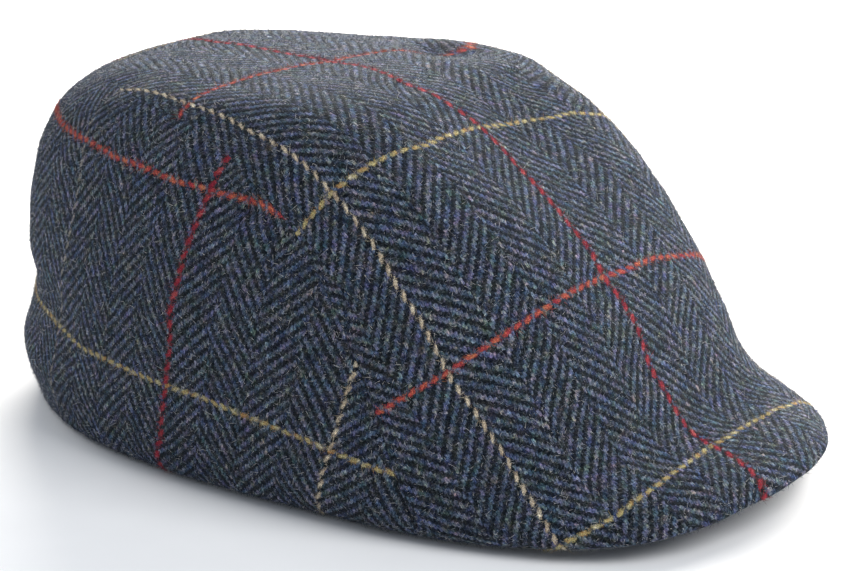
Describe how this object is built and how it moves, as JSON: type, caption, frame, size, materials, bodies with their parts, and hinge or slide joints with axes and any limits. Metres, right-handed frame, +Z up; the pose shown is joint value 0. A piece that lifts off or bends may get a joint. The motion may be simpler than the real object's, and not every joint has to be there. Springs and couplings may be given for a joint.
{
  "type": "flat cap",
  "caption": "Herringbone wool flat cap of the duckbill kind, with a windowpane check, a one-piece top over a short stiff peak, and open head hollow.",
  "frame": {"origin": "on the table that the rim rests on, under the middle of the cap's outline", "axes": "+Z up through the crown, -Y towards the tip of the peak, -X towards the wearer's right"},
  "size_m": [0.186, 0.286, 0.1221],
  "materials": {
    "tweed_top": "matte",
    "tweed_side": "matte",
    "tweed_peak": "matte"
  },
  "bodies": {
    "root": {"top_panel": "tweed_top", "side_panel_right": "tweed_side", "side_panel_left": "tweed_side", "peak": "tweed_peak"}
  },
  "joints": []
}
